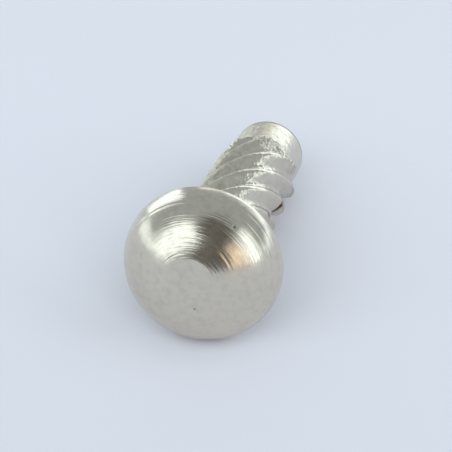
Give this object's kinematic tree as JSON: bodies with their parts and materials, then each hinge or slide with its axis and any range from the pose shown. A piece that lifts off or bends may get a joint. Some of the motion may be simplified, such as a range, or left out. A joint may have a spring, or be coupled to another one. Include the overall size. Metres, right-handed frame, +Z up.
{
  "type": "drive screw",
  "caption": "Round-head hammer-drive screw with a steep rolled thread of several starts, a plain pilot end and a bright nickel finish, lying at rest.",
  "frame": {"origin": "centre of the footprint, on the surface that the screw lies on", "axes": "+Z up from that surface, +X level along the screw toward its head"},
  "size_m": [0.0116, 0.005, 0.005],
  "materials": {
    "nickel_steel": "bright nickel plate on steel, finely turned head, lightly worn"
  },
  "bodies": {
    "root": {"drive_screw": "nickel_steel"}
  },
  "joints": []
}
